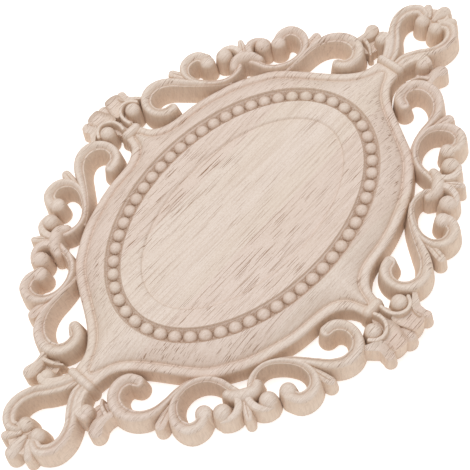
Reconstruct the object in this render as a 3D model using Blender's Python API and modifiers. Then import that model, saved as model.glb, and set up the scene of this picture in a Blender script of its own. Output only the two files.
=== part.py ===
"""A pierced wood applique: an oval cartouche with a bead ring inside a border of carved scrolls.

The ornament is the same in its four quarters. One quarter is modelled, with the whole plate, and is
mirrored across both axes. The long axis is X, the short axis is Y, the flat back lies at Z = 0.
"""

import math

import bmesh
import bpy
from mathutils import Vector

MM = 0.001

# Plate heights above the back, in mm
FIELD_TOP_HEIGHT = 13.9
PANEL_RIM_HEIGHT = 13.6
RIM_HEIGHT = 10.0
RIM_FALL = 7.0
GROOVE_DEPTH = 0.8
CHANNEL_HEIGHT = 11.0
PANEL_HEIGHT = 12.4

# Ovals of the plate: half length and half width, in mm
CHANNEL_OUTER = (73.9, 50.4)
CHANNEL_INNER = (66.9, 42.7)
PANEL_EDGE = (57.4, 33.4)
BEAD_COUNT = 56
BEAD_RADIUS = 2.75

# The wood below the back that the last cut takes off, and the spread of a wall's foot
SPARE = 1.0
FOOT = 1.3
INNER_FOOT = 1.5

# Scroll tops: the outer edge of a curl stands higher than its inner edge
SCROLL_OUTER_HEIGHT = 12.0
SCROLL_INNER_HEIGHT = 10.6

# Outline of the plate in one quarter, from the short axis to the long one: x, y on the edge, then
# x, y of the matching point on the rim's inner line
PLATE_OUTLINE = (
    ((0.0, 77.4), (0.0, 70.2)), ((4.8, 76.8), (1.5, 67.8)), ((5.4, 71.6), (2.8, 65.0)),
    ((8.2, 66.2), (6.4, 61.4)), ((12.8, 63.2), (11.4, 58.4)), ((20.0, 61.6), (19.2, 57.0)),
    ((28.5, 60.6), (27.4, 56.0)), ((36.5, 58.8), (34.9, 54.5)), ((44.0, 56.4), (41.9, 52.1)),
    ((51.0, 53.8), (48.6, 49.8)), ((58.0, 49.9), (55.1, 46.3)), ((64.0, 45.8), (61.0, 42.3)),
    ((69.4, 41.2), (65.9, 38.3)), ((74.0, 34.8), (70.2, 32.2)), ((78.5, 27.3), (74.6, 24.9)),
    ((82.6, 20.6), (78.8, 18.0)), ((87.4, 13.8), (83.8, 10.6)), ((92.5, 9.0), (89.6, 5.6)),
    ((98.0, 6.8), (95.0, 2.6)), ((103.0, 6.4), (98.6, 1.2)), ((103.4, 0.0), (99.8, 0.0)),
)

# Scrolls of one quarter: x, y and half width of the crest, in mm, from the root to the curl
SCROLLS = {
    "short_side_volute": (
        (46.0, 57.4, 1.2), (40.6, 63.4, 1.6), (37.2, 68.3, 1.9), (34.2, 73.2, 2.4),
        (31.0, 78.0, 2.8), (26.5, 81.6, 3.2), (21.8, 82.6, 3.3), (17.2, 80.8, 3.1), (14.5, 76.5, 2.7),
        (14.7, 71.5, 2.7), (17.6, 67.7, 2.9), (21.8, 67.0, 3.0), (24.6, 69.0, 1.8)),
    "short_side_scroll": (
        (60.0, 59.6, 2.0), (57.6, 57.2, 1.6), (53.0, 56.0, 1.3), (48.5, 57.2, 1.3), (44.3, 60.6, 1.5),
        (41.0, 65.3, 1.6), (39.2, 70.2, 1.8), (39.7, 75.2, 2.3), (42.5, 78.8, 2.8), (46.7, 79.8, 3.1),
        (50.8, 78.0, 3.2), (52.3, 74.0, 3.0)),
    "long_side_scroll": (
        (65.9, 56.0, 2.0), (66.1, 52.0, 1.9), (67.1, 47.3, 1.8), (69.5, 42.9, 1.6), (73.8, 39.5, 1.5),
        (79.0, 38.1, 1.4), (84.5, 38.6, 1.8), (89.1, 41.5, 2.5), (91.5, 46.6, 3.0), (90.2, 51.5, 3.2),
        (86.0, 53.4, 2.9), (82.6, 52.6, 2.6)),
    "long_side_volute": (
        (71.5, 38.2, 0.9), (76.0, 36.8, 1.1), (82.0, 36.0, 1.3), (88.0, 35.8, 1.6), (93.5, 34.9, 2.2),
        (98.6, 32.2, 2.8), (102.0, 27.5, 3.3), (102.6, 22.0, 3.4), (100.2, 17.4, 3.2), (95.6, 15.4, 3.1),
        (91.2, 16.8, 3.1), (89.4, 20.6, 3.0), (90.0, 23.9, 1.8)),
    "finial_arm": (
        (104.0, 0.8, 2.6), (110.0, 2.9, 3.0), (116.0, 7.3, 3.1), (121.7, 11.8, 3.0), (128.0, 14.0, 3.0),
        (134.0, 12.8, 3.2), (137.3, 8.5, 3.2), (136.2, 4.6, 3.0)),
    "ball_stem": ((105.0, 3.0, 2.2), (112.6, 9.2, 2.4)),
    "tie_band": ((58.2, 60.6, 2.6), (64.0, 61.4, 3.4), (69.0, 57.0, 2.8)),
}

# Balls and rounded scroll ends of one quarter: x, y, radius, height
BALLS = {
    "short_side_scroll_end": (51.6, 71.7, 3.8, 12.0),
    "short_side_ball": (60.8, 69.6, 4.7, 11.6),
    "long_side_ball": (76.2, 58.6, 4.6, 11.6),
    "long_side_scroll_end": (81.2, 51.8, 3.8, 12.2),
    "base_ball": (112.4, 12.4, 3.9, 12.6),
    "finial_scroll_end": (133.6, 3.6, 3.5, 11.6),
    "leaf_ball": (8.7, 81.9, 4.2, 13.0),
}

# Buds and leaf lobes of one quarter: root x, y, tip x, y, half width, height
LOBES = {
    "bud_between_short_scrolls": (38.2, 73.6, 36.1, 85.6, 2.6, 10.4),
    "bud_of_the_tie": (66.0, 61.0, 71.9, 69.6, 3.0, 9.6),
    "bud_between_long_scrolls": (88.0, 38.8, 100.0, 41.2, 2.8, 9.4),
    "leaf_bud": (0.0, 86.0, 0.0, 98.4, 3.4, 11.0),
    "leaf_inner_lobe": (3.2, 84.5, 6.3, 95.6, 3.3, 11.4),
    "leaf_outer_lobe": (7.4, 85.0, 13.0, 95.4, 2.8, 11.0),
    "leaf_side_lobe": (10.0, 83.5, 15.2, 89.0, 2.6, 10.4),
    "side_leaf_upper": (104.4, 19.6, 117.2, 22.9, 2.6, 10.4),
    "side_leaf_lower": (105.6, 16.6, 119.0, 18.6, 2.8, 9.8),
    "finial_outer_lobe": (137.6, 7.0, 144.6, 7.9, 2.4, 10.4),
    "finial_middle_lobe": (139.0, 2.8, 147.4, 4.0, 2.3, 10.8),
    "finial_tip": (138.0, 0.0, 149.8, 0.0, 2.3, 11.2),
}
LOBE_WIDTHS = ((0.0, 0.85), (0.7, 1.0), (1.0, 0.35))

# Flat grounds that the leaves grow from, as outlines of one quarter, and their height
GROUNDS = {
    "leaf_ground": (((-2.0, 75.0), (5.0, 76.4), (12.4, 79.4), (13.0, 86.5), (8.0, 92.5), (-2.0, 92.5)), 8.2),
    "side_leaf_ground": (((103.0, 16.0), (107.0, 12.0), (113.5, 12.6), (115.0, 20.0), (105.0, 23.4)), 7.4),
    "finial_ground": (((133.0, -2.0), (133.0, 6.0), (138.5, 11.6), (142.0, 8.0), (143.5, -2.0)), 8.6),
}

# The raised arch that the side leaves of the short end grow from, and the bars that close the plate's ends
ARCH = ((1.4, 78.6, 1.1), (3.0, 85.2, 1.2), (8.0, 88.2, 1.3), (12.6, 86.6, 1.2))
ARCH_HEIGHT = 11.6
END_BARS = {
    "short_end_bar": (((-5.4, 76.0, 1.7), (5.4, 76.0, 1.7)), 9.4),
    "long_end_bar": (((103.6, -7.6, 1.9), (103.6, 7.6, 1.9)), 9.6),
}

WOOD_COLOUR = (0.75, 0.62, 0.52, 1.0)


def clear_scene():
    """Remove whatever the file held."""
    for thing in list(bpy.data.objects):
        bpy.data.objects.remove(thing, do_unlink=True)


def new_collection(name):
    collection = bpy.data.collections.new(name)
    bpy.context.scene.collection.children.link(collection)
    return collection


def wood_material():
    """Pale unfinished rubber wood."""
    material = bpy.data.materials.new("rubber_wood")
    material.use_nodes = True
    shader = material.node_tree.nodes["Principled BSDF"]
    shader.inputs["Base Color"].default_value = WOOD_COLOUR
    shader.inputs["Roughness"].default_value = 0.7
    shader.inputs["Metallic"].default_value = 0.0
    return material


def lofted(name, rings, collection):
    """A closed solid through rings of points in mm, each ring with the same number of points."""
    shape = bmesh.new()
    loops = [[shape.verts.new(Vector(point) * MM) for point in ring] for ring in rings]
    count = len(loops[0])
    for lower, upper in zip(loops, loops[1:]):
        for i in range(count):
            j = (i + 1) % count
            shape.faces.new((lower[i], lower[j], upper[j], upper[i]))
    shape.faces.new(loops[0])
    shape.faces.new(loops[-1])
    bmesh.ops.connect_verts_nonplanar(shape, angle_limit=math.radians(0.3), faces=shape.faces)
    bmesh.ops.recalc_face_normals(shape, faces=shape.faces)
    mesh = bpy.data.meshes.new(name)
    shape.to_mesh(mesh)
    shape.free()
    solid = bpy.data.objects.new(name, mesh)
    collection.objects.link(solid)
    return solid


def lofted_all_round(name, rings, collection):
    """The same solid in every quarter it belongs to; one that lies across an axis isn't doubled there."""
    points = [point for ring in rings for point in ring]
    across_x = min(point[0] for point in points) < -0.9 * max(point[0] for point in points)
    across_y = min(point[1] for point in points) < -0.9 * max(point[1] for point in points)
    for flip_x in (1,) if across_x else (1, -1):
        for flip_y in (1,) if across_y else (1, -1):
            flipped = [[(x * flip_x, y * flip_y, z) for x, y, z in ring] for ring in rings]
            lofted("%s_%+d_%+d" % (name, flip_x, flip_y), flipped, collection)


def left_of(path, i):
    """Unit vector to the left of the path's direction at a point."""
    ahead = path[min(i + 1, len(path) - 1)] - path[max(i - 1, 0)]
    return Vector((-ahead.y, ahead.x, 0)).normalized()


def turns_left(path):
    """Whether the far half of the path curls to the left."""
    turn = 0.0
    for i in range(len(path) // 2, len(path) - 1):
        into = (path[i] - path[i - 1]).to_2d()
        out = (path[i + 1] - path[i]).to_2d()
        turn += into.cross(out)
    return turn > 0


def swept(name, path, sides, collection):
    """Sweep a section along a path of x, y and half width, in every quarter.

    Each side of the section has its distance from the path in half widths and in mm, and its height.
    """
    rings = []
    for i, point in enumerate(path):
        across = left_of(path, i)
        centre = Vector((point.x, point.y, 0))
        rings.append([centre + across * (share * point.z + extra) + Vector((0, 0, height))
                      for share, extra, height in sides])
    lofted_all_round(name, rings, collection)


def scroll(name, rows, collection):
    """A carved scroll: steep walls, its crest higher along the outside of the curl."""
    path = [Vector(row) for row in rows]
    outer = -1 if turns_left(path) else 1
    sides = [
        (outer, outer * FOOT, -SPARE),
        (outer * 0.94, 0.0, SCROLL_OUTER_HEIGHT),
        (-outer * 0.9, 0.0, SCROLL_INNER_HEIGHT),
        (-outer, -outer * INNER_FOOT, -SPARE),
    ]
    swept(name, path, sides, collection)


def band(name, rows, height, collection):
    """A plain rounded band."""
    sides = [(1, FOOT, -SPARE), (0.85, 0.0, height), (-0.85, 0.0, height), (-1, -FOOT, -SPARE)]
    swept(name, [Vector(row) for row in rows], sides, collection)


def lobe(name, root_x, root_y, tip_x, tip_y, half_width, height, collection):
    """A leaf lobe or bud: a ridge that widens from its root and rounds off at its tip."""
    root = Vector((root_x, root_y, 0))
    run = Vector((tip_x, tip_y, 0)) - root
    path = [root + run * along + Vector((0, 0, half_width * share)) for along, share in LOBE_WIDTHS]
    sides = [(1, 0.8, -SPARE), (0.95, 0.0, 0.75 * height), (0.0, 0.0, height),
             (-0.95, 0.0, 0.75 * height), (-1, -0.8, -SPARE)]
    swept(name, path, sides, collection)


def turned(name, x, y, profile, segments, collection):
    """A round solid on an upright axis, in every quarter; the profile gives radius and height from the top down."""
    shape = bmesh.new()
    corners = [shape.verts.new((radius * MM, 0, height * MM)) for radius, height in profile]
    for upper, lower in zip(corners, corners[1:]):
        shape.edges.new((upper, lower))
    mesh = bpy.data.meshes.new(name)
    shape.to_mesh(mesh)
    shape.free()
    for place_x in {x, -x}:
        for place_y in {y, -y}:
            solid = bpy.data.objects.new("%s_at_%d_%d" % (name, place_x, place_y), mesh)
            solid.location = (place_x * MM, place_y * MM, 0)
            collection.objects.link(solid)
            turn = solid.modifiers.new("turned", "SCREW")
            turn.steps = segments
            turn.render_steps = segments
            turn.use_merge_vertices = True
            turn.merge_threshold = 0.00001


def ball(name, x, y, radius, height, collection):
    """A carved ball that goes down to the back as a post with a slightly wider foot."""
    profile = ((0, height), (radius * 0.6, height * 0.94), (radius + 0.3, height * 0.74),
               (radius + 1.3, -SPARE), (0, -SPARE))
    turned(name, x, y, profile, 8, collection)


def ground(name, outline, height, collection):
    """A low flat ground under a group of leaves."""
    rings = [[(x, y, level) for x, y in outline] for level in (-SPARE, height)]
    lofted_all_round(name, rings, collection)


def rim_height(x, y):
    """The rim stands a little lower towards the pointed ends of the plate."""
    beyond = math.hypot(x / CHANNEL_OUTER[0], y / CHANNEL_OUTER[1]) - 1
    return min(RIM_HEIGHT, RIM_HEIGHT - RIM_FALL * (beyond - 0.22))


def rim_ring(inward, drop):
    """One quarter of a ring that follows the plate's edge, part of the way in to the rim's inner line."""
    ring = []
    for edge, inner in PLATE_OUTLINE:
        x, y = Vector(edge).lerp(Vector(inner), inward)
        ring.append((x, y, rim_height(x, y) - drop))
    return ring


def foot_ring():
    """One quarter of the foot of the plate's outer wall, just outside its edge."""
    return [(x, y, -SPARE) for x, y, z in rim_ring(-0.13, 0)]


def oval_ring(half_length, half_width, height):
    """One quarter of an oval, with a point for each point of the rim."""
    ring = []
    for edge, inner in PLATE_OUTLINE:
        angle = math.atan2(inner[1] / CHANNEL_OUTER[1], inner[0] / CHANNEL_OUTER[0])
        ring.append((half_length * math.cos(angle), half_width * math.sin(angle), height))
    return ring


def plate_rings():
    """Rings of the plate, from the foot of its outer wall over the rim and the bead channel to the panel."""
    channel_wall = 0.6
    quarters = [
        foot_ring(),
        rim_ring(0.0, 1.4),
        rim_ring(0.3, 0.0),
        rim_ring(1.0, GROOVE_DEPTH),
        rim_ring(1.12, -0.1),
        oval_ring(*CHANNEL_OUTER, FIELD_TOP_HEIGHT),
        oval_ring(CHANNEL_OUTER[0] - channel_wall, CHANNEL_OUTER[1] - channel_wall, CHANNEL_HEIGHT),
        oval_ring(CHANNEL_INNER[0] + channel_wall, CHANNEL_INNER[1] + channel_wall, CHANNEL_HEIGHT),
        oval_ring(*CHANNEL_INNER, PANEL_RIM_HEIGHT),
        oval_ring(*PANEL_EDGE, PANEL_HEIGHT),
    ]
    return [whole_ring(part) for part in quarters]


def whole_ring(quarter):
    """Mirror one quarter's points into a full ring."""
    right = list(reversed(quarter))
    top_left = [(-x, y, z) for x, y, z in quarter[1:]]
    bottom_left = [(-x, -y, z) for x, y, z in right[1:]]
    bottom_right = [(x, -y, z) for x, y, z in quarter[1:-1]]
    return right + top_left + bottom_left + bottom_right


def bead_places():
    """Evenly spaced points along the middle line of the bead channel, one quarter with both ends."""
    half_length = 0.5 * (CHANNEL_OUTER[0] + CHANNEL_INNER[0])
    half_width = 0.5 * (CHANNEL_OUTER[1] + CHANNEL_INNER[1])
    fine = 2000
    points = [Vector((half_length * math.cos(0.5 * math.pi * i / fine),
                      half_width * math.sin(0.5 * math.pi * i / fine))) for i in range(fine + 1)]
    lengths = [0.0]
    for a, b in zip(points, points[1:]):
        lengths.append(lengths[-1] + (b - a).length)
    per_quarter = BEAD_COUNT // 4
    places = []
    for k in range(per_quarter + 1):
        target = lengths[-1] * k / per_quarter
        nearest = min(range(len(lengths)), key=lambda i: abs(lengths[i] - target))
        places.append(points[nearest])
    places[0].y = 0
    places[-1].x = 0
    return places


def bead(name, place, collection):
    """A round bead that stands in the channel."""
    profile = ((0, CHANNEL_HEIGHT + 2.5), (BEAD_RADIUS * 0.9, CHANNEL_HEIGHT + 1.4),
               (BEAD_RADIUS * 1.1, CHANNEL_HEIGHT - 1), (0, CHANNEL_HEIGHT - 1))
    turned(name, place.x, place.y, profile, 6, collection)


def back_cutter(collection):
    """A slab whose top is the plane of the back."""
    size = 400 * MM
    thickness = 10 * MM
    bpy.ops.mesh.primitive_cube_add(size=1, location=(0, 0, -0.5 * thickness))
    cutter = bpy.context.object
    cutter.name = "back_cutter"
    cutter.scale = (size, size, thickness)
    for holder in cutter.users_collection:
        holder.objects.unlink(cutter)
    collection.objects.link(cutter)
    return cutter


def add_ornament(tools):
    """Everything that is carved round the plate and the beads on it, as overlapping closed solids."""
    for name, rows in SCROLLS.items():
        scroll(name, rows, tools)
    for name, (x, y, radius, height) in BALLS.items():
        ball(name, x, y, radius, height, tools)
    for name, sizes in LOBES.items():
        lobe(name, *sizes, tools)
    for name, (outline, height) in GROUNDS.items():
        ground(name, outline, height, tools)
    band("arch", ARCH, ARCH_HEIGHT, tools)
    for name, (rows, height) in END_BARS.items():
        band(name, rows, height, tools)
    for number, place in enumerate(bead_places()):
        bead("bead_%02d" % number, place, tools)


def join_into(body, tools, cutter):
    """Union the pieces with the body and cut the back flat."""
    union = body.modifiers.new("carving", "BOOLEAN")
    union.operation = "UNION"
    union.operand_type = "COLLECTION"
    union.collection = tools
    cut = body.modifiers.new("flat_back", "BOOLEAN")
    cut.operation = "DIFFERENCE"
    cut.object = cutter


def tidy_edges(body):
    """Take out the shortest edges that the union leaves."""
    weld = body.modifiers.new("short_edges", "WELD")
    weld.merge_threshold = 0.00008


def shade_round(body):
    for face in body.data.polygons:
        face.use_smooth = True
    body.data.set_sharp_from_angle(angle=math.radians(40))


def hide_tools(things):
    for thing in things:
        thing.hide_render = True
        thing.display_type = "WIRE"


def build():
    clear_scene()
    parts = new_collection("wood_applique")
    tools = new_collection("carving_tools")
    cutters = new_collection("cutters")
    body = lofted("applique", plate_rings(), parts)
    add_ornament(tools)
    cutter = back_cutter(cutters)
    join_into(body, tools, cutter)
    tidy_edges(body)
    body.data.materials.append(wood_material())
    shade_round(body)
    hide_tools(list(tools.objects) + [cutter])


build()
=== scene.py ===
"""A carved wood applique, lying on its flat back: looks, stage and camera.

Sizes of the carving are in millimetres, and those of the stage and the camera in metres. X runs along
the applique, Y across it, and the carving faces +Z. Its four quarters are alike, so each form is given
once, for the quarter at +X +Y.
"""

import itertools
import math

import bmesh
import bpy
from mathutils import Matrix, Vector


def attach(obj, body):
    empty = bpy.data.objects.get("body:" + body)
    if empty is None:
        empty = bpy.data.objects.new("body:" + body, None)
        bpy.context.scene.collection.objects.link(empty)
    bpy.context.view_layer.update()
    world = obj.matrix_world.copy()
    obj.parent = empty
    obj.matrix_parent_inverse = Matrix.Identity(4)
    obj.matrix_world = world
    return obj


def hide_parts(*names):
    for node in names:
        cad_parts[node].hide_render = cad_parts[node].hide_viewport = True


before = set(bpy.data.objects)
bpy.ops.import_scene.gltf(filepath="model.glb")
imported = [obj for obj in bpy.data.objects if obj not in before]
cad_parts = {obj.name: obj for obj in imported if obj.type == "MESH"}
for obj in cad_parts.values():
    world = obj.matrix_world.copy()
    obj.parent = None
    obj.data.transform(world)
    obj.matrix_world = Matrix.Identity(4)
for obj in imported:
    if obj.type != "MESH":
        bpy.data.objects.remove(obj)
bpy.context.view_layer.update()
MM = 0.001


# Plate. The middle of the applique, one oval board of glued rubber wood that ends in a short neck on each
# side. A rounded rim runs along its edge with a groove inside it, the field rises from there to a sunk
# channel for the beads, and the panel inside the channel steps down softly to a flat oval floor.

plate_edge = (
    (0.0, 77.2), (2.6, 77.2), (4.6, 76.6), (5.1, 73.5), (6.0, 69.3), (8.2, 66.2), (12.0, 63.6),
    (18.0, 61.9), (24.0, 61.2), (30.0, 60.4), (36.5, 58.8), (43.0, 56.7), (50.0, 54.3), (56.5, 50.9),
    (61.6, 47.5), (67.0, 43.8), (71.5, 38.6), (75.0, 33.0), (78.5, 27.3), (82.0, 21.5), (86.0, 15.7),
    (90.0, 11.2), (94.5, 8.1), (99.0, 6.9), (102.4, 6.4), (103.2, 4.6), (103.4, 0.0),
)
rim_line = (
    (0.0, 72.0), (0.7, 71.0), (1.3, 69.8), (2.0, 67.8), (2.9, 65.2), (5.0, 62.2), (9.6, 59.2),
    (16.6, 57.4), (23.0, 56.7), (28.8, 55.9), (34.9, 54.4), (41.0, 52.3), (47.6, 49.9), (53.7, 46.7),
    (58.6, 43.4), (63.5, 40.0), (67.5, 35.6), (71.0, 30.4), (74.4, 24.9), (77.9, 19.2), (82.0, 13.0),
    (86.2, 8.2), (90.8, 4.9), (94.8, 3.0), (97.4, 1.7), (98.6, 0.9), (99.2, 0.0),
)
channel_outer = (74.1, 51.0)
channel_inner = (66.6, 42.8)
panel_line = (57.2, 33.0)
rim_height = 9.9
field_top = 13.85
channel_floor = 11.2
panel_rim = 13.5
panel_floor = 12.3
ring_spacing = 2.1
field_start = (1.08, 0.15)
rim_fall_start = 1.22
rim_fall_slope = 6.0


def smooth_path(rows, spacing):
    """Points along a smooth curve through the rows, with a row's later numbers carried along."""
    knots = [Vector(row) for row in rows]
    times = [0.0]
    for a, b in zip(knots, knots[1:]):
        times.append(times[-1] + math.sqrt((b.xy - a.xy).length))
    slopes = []
    for i, knot in enumerate(knots):
        before = (knot - knots[i - 1]) / (times[i] - times[i - 1]) if i > 0 else None
        after = (knots[i + 1] - knot) / (times[i + 1] - times[i]) if i + 1 < len(knots) else None
        if before is None or after is None:
            slopes.append(before or after)
            continue
        across = (knots[i + 1] - knots[i - 1]) / (times[i + 1] - times[i - 1])
        slopes.append(before - across + after)
    path = []
    for i in range(len(knots) - 1):
        here = knots[i]
        there = knots[i + 1]
        span = times[i + 1] - times[i]
        steps = max(2, round((there.xy - here.xy).length / spacing))
        leaving = here + slopes[i] * span / 3
        arriving = there - slopes[i + 1] * span / 3
        for k in range(steps):
            t = k / steps
            path.append((1 - t) ** 3 * here + 3 * t * (1 - t) ** 2 * leaving
                        + 3 * t * t * (1 - t) * arriving + t ** 3 * there)
    return path + [knots[-1]]


edge_and_rim = smooth_path([edge + inner for edge, inner in zip(plate_edge, rim_line)], ring_spacing)


def rim_fall(x, y):
    """How much lower the rim stands towards the plate's four ends."""
    beyond = math.hypot(x / channel_outer[0], y / channel_outer[1]) - rim_fall_start
    return max(0.0, rim_fall_slope * beyond)


def foot_ring(outward, height):
    """A quarter ring on the plate's side, which spreads a little towards the back."""
    ring = []
    for row in edge_and_rim:
        edge = Vector(row[0:2])
        inner = Vector(row[2:4])
        spot = edge + (edge - inner).normalized() * outward
        ring.append(Vector((spot.x, spot.y, height)))
    return ring


def edge_ring(inward, drop):
    """A quarter ring a share of the way in from the plate's edge to the rim's inner line."""
    ring = []
    for row in edge_and_rim:
        spot = Vector(row[0:2]).lerp(Vector(row[2:4]), inward)
        ring.append(Vector((spot.x, spot.y, rim_height - rim_fall(*spot) - drop)))
    return ring


def oval_ring(oval, height):
    """A quarter ring on an oval, with a point for each point of the edge."""
    ring = []
    for row in edge_and_rim:
        angle = math.atan2(row[3] / channel_outer[1], row[2] / channel_outer[0])
        ring.append(Vector((oval[0] * math.cos(angle), oval[1] * math.sin(angle), height)))
    return ring


def inset_oval(oval, inset, height):
    """A quarter ring some mm inside an oval."""
    return oval_ring((oval[0] - inset, oval[1] - inset), height)


def field_ring(share, swell):
    """A quarter ring on the field, between the rim's inner line and the channel."""
    start = edge_ring(*field_start)
    end = oval_ring(channel_outer, field_top)
    return [a.lerp(b, share) + Vector((0, 0, swell)) for a, b in zip(start, end)]


plate_rings = [
    foot_ring(0.8, 0.0),
    foot_ring(0.45, 4.5),
    edge_ring(0.0, 1.9),
    edge_ring(0.03, 0.95),
    edge_ring(0.12, 0.32),
    edge_ring(0.3, 0.0),
    edge_ring(0.6, 0.0),
    edge_ring(0.74, 0.2),
    edge_ring(0.84, 0.65),
    edge_ring(0.9, 1.05),
    edge_ring(0.97, 1.1),
    edge_ring(1.03, 0.75),
    field_ring(0.0, 0.0),
    field_ring(0.1, 0.25),
    field_ring(0.3, 0.45),
    field_ring(0.6, 0.45),
    field_ring(0.85, 0.2),
    oval_ring(channel_outer, field_top),
    inset_oval(channel_outer, 0.2, field_top - 0.3),
    inset_oval(channel_outer, 0.45, field_top - 1.3),
    inset_oval(channel_outer, 1.6, channel_floor + 0.5),
    inset_oval(channel_outer, 2.9, channel_floor),
    inset_oval(channel_inner, -2.9, channel_floor),
    inset_oval(channel_inner, -1.6, channel_floor + 0.5),
    inset_oval(channel_inner, -0.45, panel_rim - 1.1),
    inset_oval(channel_inner, -0.2, panel_rim - 0.3),
    oval_ring(channel_inner, panel_rim),
    inset_oval(channel_inner, 0.8, panel_rim - 0.02),
    inset_oval(channel_inner, 4.5, panel_rim - 0.3),
    inset_oval(panel_line, -1.2, panel_floor + 0.7),
    inset_oval(panel_line, -0.5, panel_floor + 0.42),
    oval_ring(panel_line, panel_floor - 0.2),
    inset_oval(panel_line, 0.45, panel_floor - 0.22),
    inset_oval(panel_line, 1.3, panel_floor - 0.02),
    inset_oval(panel_line, 4.0, panel_floor),
]


def whole_ring(quarter):
    """A quarter ring from the Y axis to the X axis, mirrored into a full ring."""
    top = [Vector((-p.x, p.y, p.z)) for p in reversed(quarter[1:])] + quarter
    return top + [Vector((p.x, -p.y, p.z)) for p in reversed(top[1:-1])]


def next_ring(shape, edges, places, ring):
    """Extrude a ring of edges and set the new ring down on its own points.

    The places give the corner at each number of the ring, before and after.
    """
    numbers = {vert: i for i, vert in places.items()}
    grown = bmesh.ops.extrude_edge_only(shape, edges=edges)["geom"]
    fresh = {item for item in grown if isinstance(item, bmesh.types.BMVert)}
    places = {}
    for vert in fresh:
        for edge in vert.link_edges:
            other = edge.other_vert(vert)
            if other in numbers:
                places[numbers[other]] = vert
    for i, vert in places.items():
        vert.co = ring[i] * MM
    edges = [item for item in grown if isinstance(item, bmesh.types.BMEdge)
             and item.verts[0] in fresh and item.verts[1] in fresh]
    return edges, places


plate = bmesh.new()
first_ring = whole_ring(plate_rings[0])
circle = bmesh.ops.create_circle(plate, segments=len(first_ring), radius=1.0, cap_ends=False)["verts"]
for vert, spot in zip(circle, first_ring):
    vert.co = spot * MM
back_edges = plate.edges[:]
edges = back_edges
places = dict(enumerate(circle))
for quarter in plate_rings[1:]:
    edges, places = next_ring(plate, edges, places, whole_ring(quarter))
bmesh.ops.edgeloop_fill(plate, edges=edges)
bmesh.ops.edgeloop_fill(plate, edges=back_edges)

# Each copy is lifted by a hair, corners within a seam become one, and edges under a speck go.
hair = 0.0004
seam = 0.002
speck = 0.001
carving = bmesh.new()
copies_made = itertools.count()


def add_to_carving(shape, across=("X", "Y")):
    """Add a form to the carving, with its copies across the axes that it isn't centred on.

    Each copy rests a hair above the one before, so that no two backs lie in one plane.
    """
    bmesh.ops.remove_doubles(shape, verts=shape.verts, dist=seam * MM)
    bmesh.ops.dissolve_degenerate(shape, edges=shape.edges, dist=speck * MM)
    for flip_x in (1, -1) if "X" in across else (1,):
        for flip_y in (1, -1) if "Y" in across else (1,):
            copy = shape.copy()
            bmesh.ops.scale(copy, vec=(flip_x, flip_y, 1), verts=copy.verts)
            bmesh.ops.translate(copy, vec=(0, 0, next(copies_made) * hair * MM), verts=copy.verts)
            bmesh.ops.recalc_face_normals(copy, faces=copy.faces)
            step = bpy.data.meshes.new("form")
            copy.to_mesh(step)
            copy.free()
            carving.from_mesh(step)
            bpy.data.meshes.remove(step)
    shape.free()


add_to_carving(plate, across=())


# Beads. A string of small round domes left standing in the channel, fourteen to a quarter with one on
# each axis. They are cut from the plate's own wood and just merge where they meet.

bead_count = 56
bead_radius = 3.45
bead_top = 13.6
bead_height = 3.0
bead_sides = 16
bead_steps = 10
bead_oval = ((channel_outer[0] + channel_inner[0]) / 2, (channel_outer[1] + channel_inner[1]) / 2)


def evenly_on_oval(oval, count):
    """Evenly spaced points round an oval, starting on the X axis."""
    fine_steps = 4000
    spots = []
    for i in range(fine_steps + 1):
        angle = math.tau * i / fine_steps
        spots.append(Vector((oval[0] * math.cos(angle), oval[1] * math.sin(angle))))
    travelled = [0.0]
    for a, b in zip(spots, spots[1:]):
        travelled.append(travelled[-1] + (b - a).length)
    chosen = []
    i = 0
    for k in range(count):
        while travelled[i] < travelled[-1] * k / count:
            i += 1
        chosen.append(spots[i])
    return chosen


for spot in evenly_on_oval(bead_oval, bead_count):
    bead = bmesh.new()
    bmesh.ops.create_uvsphere(bead, u_segments=bead_sides, v_segments=bead_steps, radius=1.0)
    bmesh.ops.scale(bead, vec=Vector((bead_radius, bead_radius, bead_height)) * MM, verts=bead.verts)
    bmesh.ops.translate(bead, vec=Vector((spot.x, spot.y, bead_top - bead_height)) * MM, verts=bead.verts)
    add_to_carving(bead, across=())


# Large scrolls. Four to a quarter, two on each side of the tie, cut with their walls straight down to the
# back. Each curls in on itself. The outside of the curl is a broad rounded roll, and a fine raised line
# runs along the inside above the hollow inner wall.

# A section row is a share of the half width, some mm further out, and a share of the height.
rolled_section = (
    (0.0, 0.0, 0.0), (1.0, 1.0, 0.0), (1.0, 0.65, 0.33), (1.0, 0.3, 0.63), (0.99, 0.0, 0.81),
    (0.93, 0.0, 0.9), (0.78, 0.0, 0.965), (0.55, 0.0, 1.0), (0.3, 0.0, 1.0), (0.08, 0.0, 0.975),
    (-0.14, 0.0, 0.93), (-0.31, 0.0, 0.885), (-0.38, 0.0, 0.855), (-0.45, 0.0, 0.885),
    (-0.56, 0.0, 0.9), (-0.7, 0.0, 0.885), (-0.82, 0.0, 0.8), (-0.94, -0.2, 0.54), (-1.0, -0.8, 0.26),
    (-1.0, -1.4, 0.0), (0.0, 0.0, 0.0),
)
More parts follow.
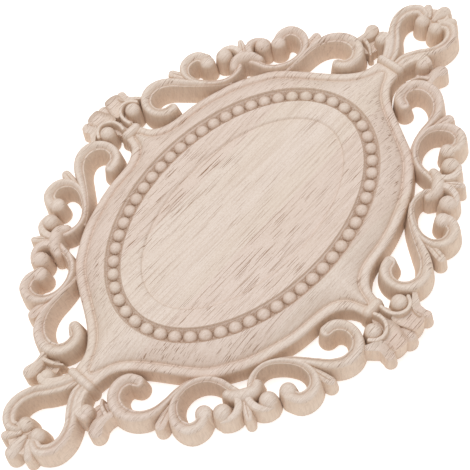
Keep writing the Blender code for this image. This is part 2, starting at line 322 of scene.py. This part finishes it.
# A row is a place, the half width there and the height there, in mm.
large_scrolls = (
    ((50.0, 55.2, 0.8, 9.0), (45.0, 58.8, 1.2, 10.8), (40.6, 63.4, 1.6, 11.8), (37.2, 68.3, 2.0, 12.0),
     (34.2, 73.2, 2.5, 12.0), (31.0, 78.0, 2.9, 12.0), (26.5, 81.5, 3.2, 12.0), (22.0, 82.4, 3.3, 12.0),
     (17.3, 80.6, 3.1, 12.0), (14.5, 76.5, 2.8, 12.0), (14.6, 71.5, 2.9, 12.0), (17.5, 67.9, 3.1, 12.0),
     (21.2, 67.0, 3.1, 11.8)),
    ((61.8, 61.0, 2.3, 9.6), (58.0, 57.3, 1.8, 10.8), (53.0, 56.1, 1.3, 11.3), (48.5, 57.3, 1.3, 11.6),
     (44.3, 60.6, 1.5, 11.8), (41.0, 65.3, 1.6, 12.0), (39.2, 70.2, 1.8, 12.0), (39.6, 75.0, 2.3, 12.0),
     (42.5, 78.6, 2.9, 12.0), (46.6, 79.5, 3.2, 12.0), (50.6, 77.9, 3.3, 12.0), (52.2, 73.6, 3.3, 12.0)),
    ((65.4, 58.4, 2.3, 9.6), (66.1, 53.0, 1.9, 10.8), (66.9, 47.5, 1.8, 11.3), (69.5, 42.8, 1.6, 11.8),
     (73.8, 39.5, 1.5, 12.0), (79.0, 38.1, 1.4, 12.0), (84.5, 38.6, 1.8, 12.0), (89.0, 41.5, 2.5, 12.0),
     (91.4, 46.5, 3.0, 12.0), (90.1, 51.4, 3.3, 12.0), (86.0, 53.2, 3.1, 12.0), (82.5, 52.2, 3.0, 12.0)),
    ((71.5, 38.2, 0.8, 9.0), (76.0, 36.8, 1.0, 10.8), (82.0, 36.0, 1.3, 11.8), (88.0, 35.9, 1.7, 12.0),
     (93.5, 35.0, 2.3, 12.0), (98.7, 32.3, 3.0, 12.0), (102.2, 27.6, 3.4, 12.0), (102.9, 22.0, 3.5, 12.0),
     (100.4, 17.3, 3.4, 12.0), (95.6, 15.4, 3.3, 12.0), (91.2, 16.8, 3.2, 12.0), (89.3, 20.2, 3.1, 11.8)),
)


def curls_left(path):
    """Whether the far half of a path curls to its left."""
    turn = 0.0
    for i in range(len(path) // 2, len(path) - 1):
        turn += (path[i].xy - path[i - 1].xy).cross(path[i + 1].xy - path[i].xy)
    return turn > 0


# Above this share of its height, a section gets flatter where the strip is narrower than this, in mm.
crown_share = 0.75
full_half_width = 2.4


def carved_strip(rows, section, spacing=1.1, nose_steps=6, root_steps=3):
    """A closed form that sweeps a section along a path and goes round both ends.

    The section starts and ends at the middle of the back, and its positive side lies on the outside of
    the path's curl.
    """
    path = smooth_path(rows, spacing)
    side = -1 if curls_left(path) else 1
    stations = [(0, math.pi / 2 * (1 - k / root_steps)) for k in range(root_steps)]
    stations += [(i, 0.0) for i in range(len(path))]
    stations += [(len(path) - 1, math.pi / 2 * (k + 1) / nose_steps) for k in range(nose_steps)]
    strip = bmesh.new()
    along = len(stations) - 1
    round_it = len(section) - 1
    bmesh.ops.create_grid(strip, x_segments=along, y_segments=round_it, size=1)
    for vert in strip.verts:
        i, turned = stations[round((vert.co.x + 1) / 2 * along)]
        j = round((vert.co.y + 1) / 2 * round_it)
        vert.co = strip_point(path, i, turned, section, j, side) * MM
    return strip


def strip_point(path, i, turned, section, j, side):
    """A corner of the section at a place on the path, or turned round an end, in mm."""
    ahead = (path[min(i + 1, len(path) - 1)].xy - path[max(i - 1, 0)].xy).normalized()
    left = Vector((-ahead.y, ahead.x))
    share, extra, height = section[j]
    other_share, other_extra, other_height = section[-1 - j]
    half_width = path[i].z
    top = path[i].w
    if height > crown_share:
        shallow = min(1.0, half_width / full_half_width)
        height = 1 - (1 - height) * shallow
        other_height = 1 - (1 - other_height) * shallow
    reach = share * half_width + extra
    other_reach = abs(other_share * half_width + other_extra)
    fold = math.sin(turned)
    height += (other_height - height) / 2 * fold
    beyond = abs(reach) + (other_reach - abs(reach)) / 2 * fold
    outwards = ahead if i > 0 else -ahead
    spot = path[i].xy + left * side * reach * math.cos(turned) + outwards * beyond * fold
    return Vector((spot.x, spot.y, height * top))


for rows in large_scrolls:
    add_to_carving(carved_strip(rows, rolled_section))


# Scroll ends and balls. The two scrolls beside the tie close on a small boss, and a larger ball sits next
# to each. More balls sit in the leaf at each short end and in the finials. All are cut as posts with a
# domed head and a foot that spreads a little.

# Each is a place, a radius, its height and how deep its domed head is, in mm.
balls = (
    (51.4, 71.9, 3.7, 12.2, 2.6),
    (81.3, 51.6, 3.7, 12.2, 2.6),
    (59.7, 68.3, 4.2, 12.6, 4.2),
    (76.0, 57.2, 4.2, 12.6, 4.2),
    (112.8, 12.4, 3.3, 12.6, 3.2),
    (8.7, 82.0, 3.9, 12.6, 3.6),
    (133.6, 3.9, 3.8, 12.0, 4.0),
)
foot_spread = 0.9
waist_spread = 0.6
waist_share = 0.38
dome_steps = 6
spin_steps = 26


def ball(x, y, radius, top, dome):
    """A post with a domed head, spun from its profile."""
    profile = [(0.0, 0.0), (radius + foot_spread, 0.0), (radius + waist_spread, waist_share * top)]
    for k in range(dome_steps + 1):
        angle = math.pi / 2 * k / dome_steps
        profile.append((radius * math.cos(angle), top - dome + dome * math.sin(angle)))
    shape = bmesh.new()
    corners = [shape.verts.new(Vector((r, 0, z)) * MM) for r, z in profile]
    edges = [shape.edges.new(pair) for pair in zip(corners, corners[1:])]
    bmesh.ops.spin(shape, geom=corners + edges, cent=(0, 0, 0), axis=(0, 0, 1), angle=math.tau,
                   steps=spin_steps, use_merge=True)
    bmesh.ops.translate(shape, vec=Vector((x, y, 0)) * MM, verts=shape.verts)
    return shape


for place in balls:
    add_to_carving(ball(*place))


# Tie and curls. A smooth band is tied over the two middle scrolls, and from its far side a curl runs out
# to each of the two balls and hugs it. A deep pit is left between the band, the curl and the ball, with a
# low ground under it that comes with the leaves.


def both_sides(half):
    """A whole section from one side of it, given from the middle of its back to the middle of its top."""
    return half + tuple((-share, -extra, height) for share, extra, height in reversed(half[:-1]))


round_section = both_sides((
    (0.0, 0.0, 0.0), (1.0, 0.9, 0.0), (1.0, 0.45, 0.5), (1.0, 0.0, 0.8), (0.9, 0.0, 0.91),
    (0.62, 0.0, 0.98), (0.0, 0.0, 1.0),
))
hood_section = both_sides((
    (0.0, 0.0, 0.0), (1.0, 0.9, 0.0), (1.0, 0.45, 0.45), (1.0, 0.0, 0.7), (0.96, 0.0, 0.79),
    (0.84, 0.0, 0.87), (0.62, 0.0, 0.94), (0.33, 0.0, 0.985), (0.0, 0.0, 1.0),
))
tie = (
    (57.2, 59.6, 2.3, 11.0), (60.2, 61.0, 2.9, 12.4), (64.2, 59.6, 3.2, 13.2), (67.4, 56.5, 2.9, 12.4),
    (68.8, 53.2, 2.3, 11.0),
)
curls = (
    ((64.6, 60.8, 1.9, 12.2), (65.6, 64.1, 1.9, 12.2), (65.0, 67.9, 1.8, 11.8), (62.7, 70.7, 1.4, 10.8),
     (60.2, 71.8, 0.9, 9.8)),
    ((67.6, 58.4, 1.9, 12.2), (69.8, 61.1, 1.9, 12.2), (73.3, 62.2, 1.8, 11.8), (76.9, 61.2, 1.4, 10.8),
     (79.0, 59.6, 0.9, 9.8)),
)
add_to_carving(carved_strip(tie, hood_section))
for rows in curls:
    add_to_carving(carved_strip(rows, round_section))


# End bars. A thick plain roll lies across each neck of the plate, where the rims meet and the end leaf or
# the finial begins. It is cut from the same board and rounded over at both ends.

end_bars = (
    (((-2.8, 74.5, 2.7, 10.3), (2.8, 74.5, 2.7, 10.3)), ("Y",)),
    (((104.2, -5.3, 2.3, 11.4), (104.2, 5.3, 2.3, 11.4)), ("X",)),
)
for rows, across in end_bars:
    add_to_carving(carved_strip(rows, hood_section, root_steps=6), across=across)


# Finials. At each end of the long axis two arms swing out from the bar, close into a loop and curl in
# again to a ball each. A groove runs along each arm, with a flat raised band inside it.

grooved_section = (
    (0.0, 0.0, 0.0), (1.0, 1.0, 0.0), (1.0, 0.65, 0.33), (1.0, 0.3, 0.63), (0.99, 0.0, 0.81),
    (0.93, 0.0, 0.9), (0.78, 0.0, 0.965), (0.55, 0.0, 1.0), (0.3, 0.0, 0.99), (0.12, 0.0, 0.96),
    (-0.02, 0.0, 0.905), (-0.09, 0.0, 0.885), (-0.17, 0.0, 0.91), (-0.3, 0.0, 0.935),
    (-0.62, 0.0, 0.92), (-0.76, 0.0, 0.89), (-0.86, 0.0, 0.78), (-0.96, -0.2, 0.54), (-1.0, -0.8, 0.26),
    (-1.0, -1.3, 0.0), (0.0, 0.0, 0.0),
)
finial_arm = (
    (105.4, 2.0, 2.6, 10.0), (110.2, 3.4, 3.1, 11.6), (116.0, 7.0, 3.1, 12.0), (121.6, 11.5, 2.9, 12.0),
    (128.0, 13.8, 3.0, 12.0), (134.0, 12.8, 3.2, 12.0), (137.5, 8.8, 3.0, 12.0), (136.6, 5.4, 2.6, 11.8),
)
base_stem = (
    (105.4, 4.2, 2.2, 9.8), (109.8, 5.8, 2.5, 11.2), (113.4, 8.2, 2.6, 12.0), (115.3, 11.2, 2.5, 12.2),
    (114.8, 13.6, 2.3, 12.0),
)
add_to_carving(carved_strip(finial_arm, grooved_section))
add_to_carving(carved_strip(base_stem, round_section))


# Buds and leaves. Short blunt buds fill the forks between the scrolls. A leaf crowns each short end: thin
# arches round its two balls, two broad fans, a pointed lobe at each side and a round bud in the middle.
# A smaller leaf of three lobes ends each finial, and a folded side leaf sits beside each finial's foot.

veined_section = both_sides((
    (0.0, 0.0, 0.0), (1.0, 0.8, 0.0), (1.0, 0.5, 0.45), (1.0, 0.0, 0.8), (0.86, 0.0, 0.93),
    (0.5, 0.0, 0.99), (0.13, 0.0, 0.985), (0.0, 0.0, 0.94),
))
buds = (
    ((38.2, 73.0, 1.3, 10.8), (37.6, 77.5, 2.2, 10.4), (36.7, 82.2, 2.3, 9.4)),
    ((66.8, 61.8, 1.3, 11.0), (69.0, 65.0, 2.0, 10.8), (70.8, 67.6, 1.5, 10.2)),
    ((87.6, 38.4, 1.3, 10.2), (92.5, 39.6, 2.4, 9.8), (96.6, 40.5, 2.5, 8.8)),
)
folded_section = (
    (0.0, 0.0, 0.0), (1.0, 0.8, 0.0), (1.0, 0.4, 0.5), (1.0, 0.0, 0.9), (0.86, 0.0, 1.0),
    (0.55, 0.0, 0.955), (0.15, 0.0, 0.89), (-0.3, 0.0, 0.84), (-0.75, 0.0, 0.82), (-1.0, 0.0, 0.79),
    (-1.0, -0.4, 0.45), (-1.0, -0.8, 0.0), (0.0, 0.0, 0.0),
)
arches_and_rolled_lobes = (
    ((2.2, 77.4, 0.9, 10.8), (1.8, 80.3, 0.9, 11.4), (2.5, 83.4, 0.9, 11.7), (4.5, 85.9, 0.9, 11.8),
     (7.8, 87.1, 0.9, 11.8), (11.0, 86.0, 0.9, 11.6), (13.0, 83.4, 0.9, 11.2)),
    ((108.6, 21.0, 1.2, 10.2), (107.7, 17.8, 1.0, 10.0), (106.5, 15.0, 0.8, 9.2),
     (104.4, 12.6, 0.5, 7.4)),
    ((137.6, 3.2, 1.4, 10.8), (140.2, 5.6, 2.1, 10.6), (142.4, 7.4, 2.1, 9.6)),
)
folded_lobe = (
    (17.4, 83.2, 0.9, 9.6), (14.2, 86.2, 1.6, 10.6), (11.6, 88.8, 2.3, 10.8), (11.2, 91.8, 2.7, 10.2),
    (12.2, 93.9, 2.2, 9.2),
)
roof_section = (
    (0.0, 0.0, 0.0), (1.0, 0.6, 0.0), (1.0, 0.3, 0.5), (1.0, 0.0, 0.82), (0.92, 0.0, 0.865),
    (0.5, 0.0, 0.925), (0.07, 0.0, 1.0), (-0.07, 0.0, 1.0), (-0.5, 0.0, 0.94), (-0.92, 0.0, 0.885),
    (-1.0, 0.0, 0.84), (-1.0, -0.3, 0.5), (-1.0, -0.6, 0.0), (0.0, 0.0, 0.0),
)
side_leaf = (
    (106.2, 21.6, 1.5, 10.6), (109.4, 20.6, 1.8, 10.6), (113.0, 20.0, 2.9, 10.4), (116.0, 21.0, 3.2, 9.6),
)
add_to_carving(carved_strip(side_leaf, roof_section))
for rows in buds:
    add_to_carving(carved_strip(rows, veined_section))
for rows in arches_and_rolled_lobes:
    add_to_carving(carved_strip(rows, round_section))
add_to_carving(carved_strip(folded_lobe, folded_section))

middle_lobes = (
    (((0.0, 88.4, 1.6, 8.4), (0.0, 91.8, 3.0, 9.6), (0.0, 94.2, 3.1, 9.4)), ("Y",)),
    (((137.6, 0.0, 1.6, 10.4), (142.4, 0.0, 3.3, 10.8), (145.5, 0.0, 3.3, 9.6)), ("X",)),
)
for rows, across in middle_lobes:
    add_to_carving(carved_strip(rows, hood_section), across=across)

# The fans, and the low grounds that the arches, the leaves and the tie stand on. Each is an outline, or
# half of one that starts and ends on the axis it is centred on, then a height and how deep it is dished.
fans_and_grounds = (
    (((0.0, 75.0), (4.4, 77.2), (4.8, 80.0), (8.6, 80.0), (12.6, 81.6), (13.4, 84.0), (10.0, 88.0),
      (3.0, 89.0), (0.0, 89.0)), 6.6, 0, "Y"),
    (((0.0, 84.0), (2.4, 84.0), (5.6, 86.2), (9.7, 87.2), (9.8, 90.4), (10.7, 94.3), (7.2, 96.0),
      (2.5, 96.0), (1.5, 92.8), (0.4, 89.6), (0.0, 88.6)), 10.5, 2.0, ""),
    (((133.8, 0.0), (134.4, 5.0), (138.2, 8.6), (141.2, 7.4), (144.2, 3.0), (145.0, 0.0)), 8.8, 0, "X"),
    (((103.0, 16.0), (107.0, 12.0), (112.6, 12.8), (114.4, 19.6), (106.0, 22.4)), 6.0, 0, ""),
    (((58.5, 62.0), (60.5, 66.0), (64.0, 69.0), (67.5, 67.0), (70.0, 66.0), (72.5, 63.0), (76.0, 60.0),
      (74.5, 56.5), (70.0, 54.0), (66.0, 56.5), (62.0, 59.0)), 5.0, 0, ""),
)


def softened(outline):
    """The outline with its corners cut off twice, so it curves as a cutter leaves it."""
    for _ in range(2):
        pairs = tuple(zip(outline, outline[1:] + outline[:1]))
        near = (((3 * x + next_x) / 4, (3 * y + next_y) / 4) for (x, y), (next_x, next_y) in pairs)
        far = (((x + 3 * next_x) / 4, (y + 3 * next_y) / 4) for (x, y), (next_x, next_y) in pairs)
        outline = tuple(corner for both in zip(near, far) for corner in both)
    return outline


# Each step into a dish shrinks the ring before it and goes down a share of the depth.
dish_steps = ((0.9, 0.45), (0.82, 0.35), (0.6, 0.2))
for outline, top, dish, centred in fans_and_grounds:
    flip = {"Y": (-1, 1), "X": (1, -1)}.get(centred)
    if flip:
        outline = outline + tuple((x * flip[0], y * flip[1]) for x, y in reversed(outline[1:-1]))
    ground = bmesh.new()
    base = ground.faces.new([ground.verts.new(Vector((x, y, 0)) * MM) for x, y in softened(outline)])
    raised = bmesh.ops.extrude_face_region(ground, geom=[base])["geom"]
    lifted = [item for item in raised if isinstance(item, bmesh.types.BMVert)]
    bmesh.ops.translate(ground, vec=(0, 0, top * MM), verts=lifted)
    if dish:
        cap = [item for item in raised if isinstance(item, bmesh.types.BMFace)]
        middle = cap[0].calc_center_median()
        for shrink, share in dish_steps:
            bmesh.ops.inset_region(ground, faces=cap, thickness=0)
            for corner in cap[0].verts:
                corner.co.xy = middle.xy + (corner.co.xy - middle.xy) * shrink
                corner.co.z -= dish * share * MM
    add_to_carving(ground, across=[axis for axis in "XY" if flip is None or axis == centred])


# Wood. Unfinished rubber wood, pale and matt, glued up from cream and pinkish strips in turn. The grain
# runs along X, with short dark pores. The cutter leaves the walls warmer and ribbed, fine marks along the
# top and rougher wood in the channel. Painted shade darkens the wood between the beads, down in the pits
# and on sloping faces, where some end grain also shows.

strip_width = 38.0
glue_line = 25.5
tool_pitch = 1.05
bump_height = 0.04
channel_shade_heights = (11.4, 13.3)
pit_shade_heights = (5.2, 5.8)
channel_shares = (0.055, 0.075)
pore_free_shares = (0.05, 0.07)
sharp_angle = 38
cream = (0.83, 0.72, 0.64, 1)
pinkish = (0.78, 0.63, 0.56, 1)
straw = (0.80, 0.685, 0.585, 1)
streak_and_shade_tan = (0.58, 0.435, 0.335, 1)
end_grain = (0.76, 0.565, 0.40, 1)
channel_shade_tan = (0.41, 0.27, 0.185, 1)
pore_and_pit_shade_brown = (0.30, 0.165, 0.095, 1)


class Wire:
    """A socket of a shader, so that the wood's sums read as plain expressions."""

    def __init__(self, tree, socket):
        self.tree = tree
        self.socket = socket

    def node(self, kind, settings=None, inputs=None, output=0):
        """Add a node: its settings first, then the values or links of its sockets."""
        made = self.tree.nodes.new(kind)
        for name, value in (settings or {}).items():
            setattr(made, name, value)
        for name, value in (inputs or {}).items():
            if isinstance(value, Wire):
                self.tree.links.new(value.socket, made.inputs[name])
            else:
                made.inputs[name].default_value = value
        return Wire(self.tree, made.outputs[output])

    def sum(self, operation, *values):
        """Work out one sum on the values given."""
        return self.node("ShaderNodeMath", {"operation": operation}, dict(enumerate(values)))

    def __add__(self, other):
        return self.sum("ADD", self, other)

    __radd__ = __add__

    def __mul__(self, other):
        return self.sum("MULTIPLY", self, other)

    __rmul__ = __mul__

    def __sub__(self, other):
        return self.sum("SUBTRACT", self, other)

    def __rsub__(self, other):
        return self.sum("SUBTRACT", other, self)

    def __truediv__(self, other):
        return self.sum("DIVIDE", self, other)

    def step(self, low, high):
        """0 below low, 1 above high, and a soft step between."""
        return self.node("ShaderNodeMapRange", {"interpolation_type": "SMOOTHSTEP"},
                         {"Value": self, "From Min": low, "From Max": high})

    def tint(self, share, colour):
        """This colour mixed with another by a share."""
        return self.node("ShaderNodeMix", {"data_type": "RGBA"}, {0: share, 6: self, 7: colour}, output=2)


wood = bpy.data.materials.new("rubber_wood")
wood.use_nodes = True
shader = wood.node_tree.nodes["Principled BSDF"]
start = Wire(wood.node_tree, None)
coords = start.node("ShaderNodeTexCoord", output=3)


def stretched(scale, offset=(0, 0, 0)):
    """The object's own coordinates, scaled per axis, so a pattern is drawn out along the grain."""
    return start.node("ShaderNodeMapping", {}, {"Vector": coords, "Location": offset, "Scale": scale})


def noise(scale, detail, offset=(0, 0, 0)):
    """A soft uneven pattern, with about this many spots to the metre along each axis."""
    return start.node("ShaderNodeTexNoise", {}, {
        "Vector": stretched(scale, offset), "Scale": 1.0, "Detail": detail, "Roughness": 0.55})


def part_of(vector, number):
    """One of a vector's three parts."""
    return start.node("ShaderNodeSeparateXYZ", {}, {"Vector": vector}, output=number)


along_grain = part_of(coords, 0) / MM
across_grain = part_of(coords, 1) / MM
above_back = part_of(coords, 2) / MM
which_strip = start.sum("FLOOR", (across_grain - glue_line) / strip_width)
pink_strip = 1 - start.sum("ABSOLUTE", start.sum("MODULO", which_strip, 2.0))
strip_tint = start.node("ShaderNodeTexWhiteNoise", {"noise_dimensions": "1D"}, {"W": which_strip})
broad = noise((9, 45, 9), 2.0)
streaks = noise((24, 850, 160), 3.0)
fibres = noise((70, 3600, 700), 2.0, (3, 1, 0))
fuzz = noise((900, 2600, 2200), 1.0, (2, 2, 5))
pores = noise((80, 3500, 600), 0.0, (1, 4, 2))
pore_patches = noise((22, 75, 40), 2.0, (5, 2, 1))
pore_share = pores.step(0.675, 0.7) * (pore_patches.step(0.42, 0.6) * 0.45 + pink_strip * 0.25 + 0.22)
chatter = noise((1300, 1300, 40), 1.0, (7, 3, 0))
tool_marks = start.sum("SINE", across_grain * (math.tau / tool_pitch)) * 0.5 + 0.5

facing_up = part_of(start.node("ShaderNodeNewGeometry", output=1), 2)
# Sloping tops are darkened: partly the end grain that shows on a slope, partly painted shade that gives
# the rounded tops their form.
sloped_end_grain_and_shade = 1 - facing_up.step(0.82, 0.99)
wall = 1 - facing_up.step(0.15, 0.85)

# The channel lies close to the oval that the beads are on, and painted shade darkens the low wood between
# them.
along_share = along_grain / bead_oval[0]
across_share = across_grain / bead_oval[1]
round_oval = start.sum("SQRT", along_share * along_share + across_share * across_share)
off_oval = start.sum("ABSOLUTE", round_oval - 1)
bead_channel = 1 - off_oval.step(*channel_shares)
channel_shade = bead_channel * (1 - above_back.step(*channel_shade_heights)) * (fuzz.step(0.36, 0.6) * 0.5 + 0.42)
pore_mask = pore_share * (1 - wall * 0.8) * (off_oval.step(*pore_free_shares) * 0.85 + 0.15)
# Painted shade: upward faces lower than about 5.5 mm, the floors of the deep pits, are darkened as if in
# shadow.
pit_shade = facing_up.step(0.5, 0.9) * (1 - above_back.step(*pit_shade_heights))

# Each tint goes over the ones before it, with its share and its colour.
tints = (
    (broad.step(0.38, 0.66) * 0.7, straw),
    (strip_tint * 0.3, straw),
    (pink_strip * 0.45, pinkish),
    (streaks.step(0.42, 0.72) * 0.34, streak_and_shade_tan),
    (fibres.step(0.5, 0.8) * 0.22, streak_and_shade_tan),
    (fuzz.step(0.45, 0.66) * 0.3, streak_and_shade_tan),
    (tool_marks * fuzz * 0.16, streak_and_shade_tan),
    # Painted shade on sloping faces, with some end grain.
    (sloped_end_grain_and_shade * 0.2, streak_and_shade_tan),
    (wall * 0.42, end_grain),
    (wall * chatter.step(0.42, 0.66) * 0.32, streak_and_shade_tan),
    (bead_channel * chatter.step(0.46, 0.66) * 0.3, streak_and_shade_tan),
    # Painted shade on the low wood between the beads.
    (channel_shade, channel_shade_tan),
    (pore_mask, pore_and_pit_shade_brown),
    # Painted shade in the deep pits; the same brown also colours the real pores.
    (pit_shade * 0.7, pore_and_pit_shade_brown),
)
colour = start.node("ShaderNodeRGB")
colour.socket.default_value = cream
for share, tone in tints:
    colour = colour.tint(share, tone)
wood.node_tree.links.new(colour.socket, shader.inputs["Base Color"])

rough_cuts = chatter * (wall + bead_channel)
height = fibres * 0.3 + fuzz * 0.6 + rough_cuts * 1.5 - tool_marks * 0.5 - pore_mask * 0.8
relief = start.node("ShaderNodeBump", {}, {
    "Strength": 0.35, "Distance": bump_height * MM, "Height": height})
wood.node_tree.links.new(relief.socket, shader.inputs["Normal"])
shader.inputs["Roughness"].default_value = 0.72
shader.inputs["Specular IOR Level"].default_value = 0.25

mesh = bpy.data.meshes.new("carved_applique")
carving.to_mesh(mesh)
carving.free()
mesh.materials.append(wood)
mesh.shade_smooth()
mesh.set_sharp_from_angle(angle=math.radians(sharp_angle))
applique = bpy.data.objects.new("carved_applique", mesh)
bpy.context.scene.collection.objects.link(applique)
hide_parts("applique")
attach(applique, "root")


# Stage. A white table that fades into a white surround, with one broad soft light almost overhead and
# plenty of fill, as on a product table. The table lies just under the flat back.

table_size = 6.0
table_drop = 0.0002
table_glow = 0.45
table_white = (0.93, 0.93, 0.93, 1)
table_shape = bmesh.new()
bmesh.ops.create_grid(table_shape, x_segments=1, y_segments=1, size=table_size / 2)
bmesh.ops.translate(table_shape, vec=(0, 0, -table_drop), verts=table_shape.verts)
table_mesh = bpy.data.meshes.new("table")
table_shape.to_mesh(table_mesh)
table_shape.free()
table = bpy.data.objects.new("table", table_mesh)
bpy.context.scene.collection.objects.link(table)
table_paint = bpy.data.materials.new("table_paint")
table_paint.use_nodes = True
table_shader = table_paint.node_tree.nodes["Principled BSDF"]
table_shader.inputs["Base Color"].default_value = table_white
table_shader.inputs["Roughness"].default_value = 0.9
table_shader.inputs["Specular IOR Level"].default_value = 0.0
table_shader.inputs["Emission Color"].default_value = (1, 1, 1, 1)
table_shader.inputs["Emission Strength"].default_value = table_glow
table_mesh.materials.append(table_paint)

surround = bpy.data.worlds.new("surround")
surround.use_nodes = True
surround.node_tree.nodes["Background"].inputs["Color"].default_value = (1.0, 1.0, 1.0, 1)
surround.node_tree.nodes["Background"].inputs["Strength"].default_value = 0.66
bpy.context.scene.world = surround
bpy.context.scene.view_settings.view_transform = "Standard"

soft_box = bpy.data.lights.new("soft_box", "AREA")
soft_box.shape = "DISK"
soft_box.size = 0.5
soft_box.energy = 3.95
soft_box.color = (1.0, 0.99, 0.985)
soft_box_stand = bpy.data.objects.new("soft_box", soft_box)
soft_box_stand.location = (0.05, 0.20, 1.03)
soft_box_stand.rotation_euler = (-soft_box_stand.location).to_track_quat("-Z", "Y").to_euler()
bpy.context.scene.collection.objects.link(soft_box_stand)


# Camera. It looks down on the applique from beyond its near left corner, and is rolled so that the long
# axis runs up to the right of the frame.

azimuth = math.radians(-33.256)
elevation = math.radians(59.859)
roll = math.radians(16.078)
distance = 0.5103
aim = Vector((-0.01113, -0.00453, 0.010))
sensor = 36.0
focal_length = 87.342128

forward = Vector((-math.sin(azimuth) * math.cos(elevation), math.cos(azimuth) * math.cos(elevation),
                  -math.sin(elevation)))
level = forward.cross(Vector((0, 0, 1))).normalized()
down = forward.cross(level)
right = math.cos(roll) * level + math.sin(roll) * down
up = math.sin(roll) * level - math.cos(roll) * down

lens = bpy.data.cameras.new("camera")
lens.sensor_width = sensor
lens.lens = focal_length
lens.clip_start = 0.01
camera = bpy.data.objects.new("camera", lens)
turn = Matrix((right, up, -forward)).transposed().to_4x4()
camera.matrix_world = Matrix.Translation(aim - forward * distance) @ turn
bpy.context.scene.collection.objects.link(camera)
bpy.context.scene.camera = camera
